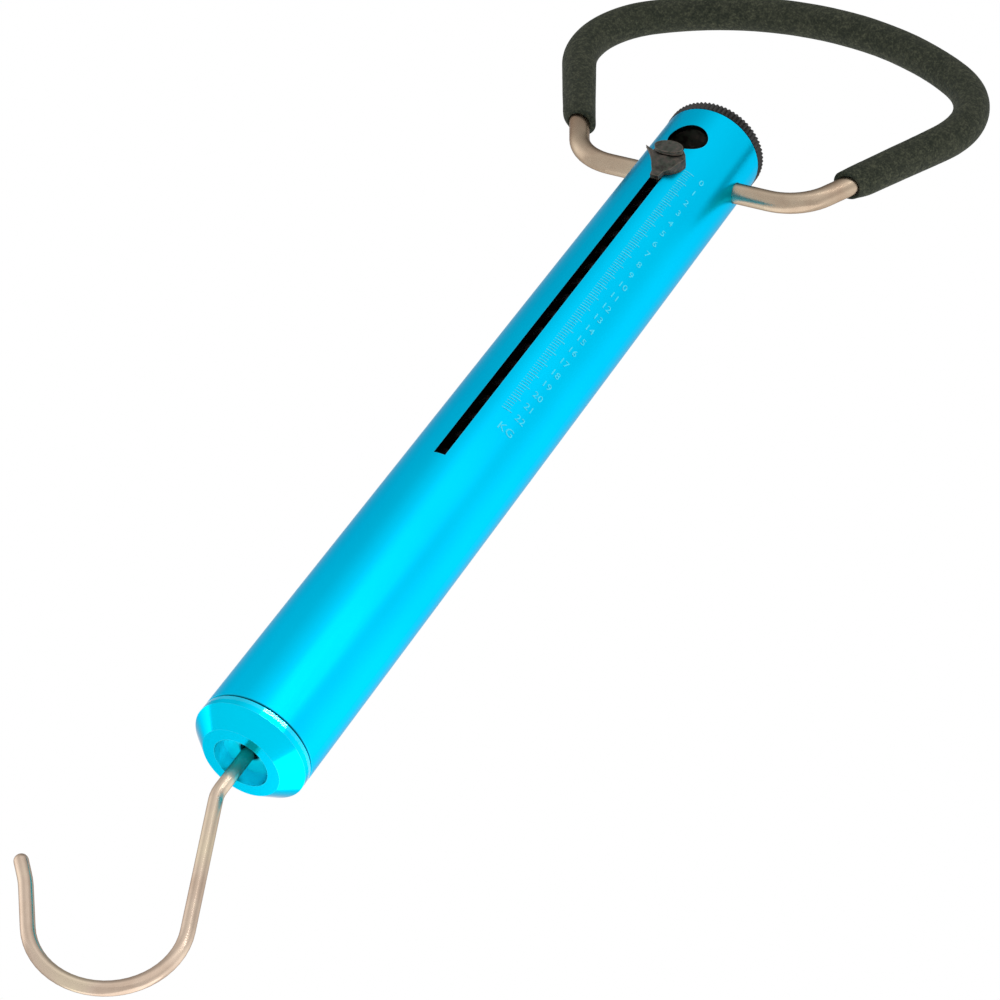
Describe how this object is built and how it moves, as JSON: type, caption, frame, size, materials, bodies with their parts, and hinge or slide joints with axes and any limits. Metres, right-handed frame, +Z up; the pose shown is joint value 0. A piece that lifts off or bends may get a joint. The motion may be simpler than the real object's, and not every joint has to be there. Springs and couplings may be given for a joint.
{
  "type": "tubular fish scale",
  "caption": "Tubular spring scale for weighing fish: a slotted barrel with a sliding marker hangs from a foam-gripped bail, and a hooked rod pulls a spring.",
  "frame": {"origin": "centre of the foam grip, midway between the bail's arms, where the hand holds the scale up", "axes": "+Z up along the hanging barrel, +X along the bail's pivot axis, and the slot and scale face -Y"},
  "size_m": [0.1336, 0.0347, 0.4214],
  "materials": {
    "anodised_blue": "bright cyan anodised aluminium, satin gloss",
    "stainless_wire": "drawn stainless wire with a warm cast",
    "steel": "plain turned steel",
    "spring_steel": "oiled spring steel",
    "dark_plastic": "dark grey moulded plastic",
    "black_knob": "black knurled plastic",
    "nylon": "natural nylon",
    "foam": "closed-cell foam, charcoal",
    "seal_rubber": "black nitrile rubber"
  },
  "bodies": {
    "handle": {"handle_bail": "stainless_wire", "foam_grip": "foam", "bail_retainers": "spring_steel"},
    "barrel": {"barrel_tube": "anodised_blue", "bottom_cap": "anodised_blue", "rod_bush": "nylon", "lower_spring_seat": "steel", "top_plug": "dark_plastic", "friction_ring": "seal_rubber", "compression_spring": "spring_steel"},
    "zero_adjuster": {"zero_knob": "black_knob", "knob_screw": "steel", "adjuster_screw": "spring_steel", "stop_pad": "dark_plastic"},
    "plunger": {"piston": "dark_plastic", "upper_spring_seat": "steel"},
    "hook": {"hook_rod": "stainless_wire", "rod_nut": "steel", "thrust_washer": "steel"},
    "marker": {"marker_saddle": "dark_plastic", "marker_pad": "dark_plastic", "marker_screw": "steel", "marker_plate": "dark_plastic"}
  },
  "joints": [
    {"name": "barrel_swing", "type": "hinge", "parent": "handle", "child": "barrel", "pos_m": [0, -0.0056, -0.09704], "axis": [1, 0, 0], "range_deg": [-160, 160]},
    {"name": "plunger_slide", "type": "slide", "parent": "barrel", "child": "plunger", "axis": [0, 0, -1], "range_m": [0, 0.128], "stiffness_N_per_m": 1961, "springref_m": -0.006, "deforming": ["compression_spring"]},
    {"name": "hook_swivel", "type": "hinge", "parent": "plunger", "child": "hook", "pos_m": [0, -0.0056, -0.33604], "axis": [0, 0, 1], "continuous": true},
    {"name": "marker_slide", "type": "slide", "parent": "barrel", "child": "marker", "axis": [0, 0, -1], "range_m": [0, 0.128]},
    {"name": "knob_turn", "type": "hinge", "parent": "barrel", "child": "zero_adjuster", "pos_m": [0, -0.0056, -0.08154], "axis": [0, 0, 1], "range_deg": [-180, 180]}
  ],
  "couplings": [
    {"joint": "marker_slide", "follows": "plunger_slide", "ratio": 1}
  ]
}
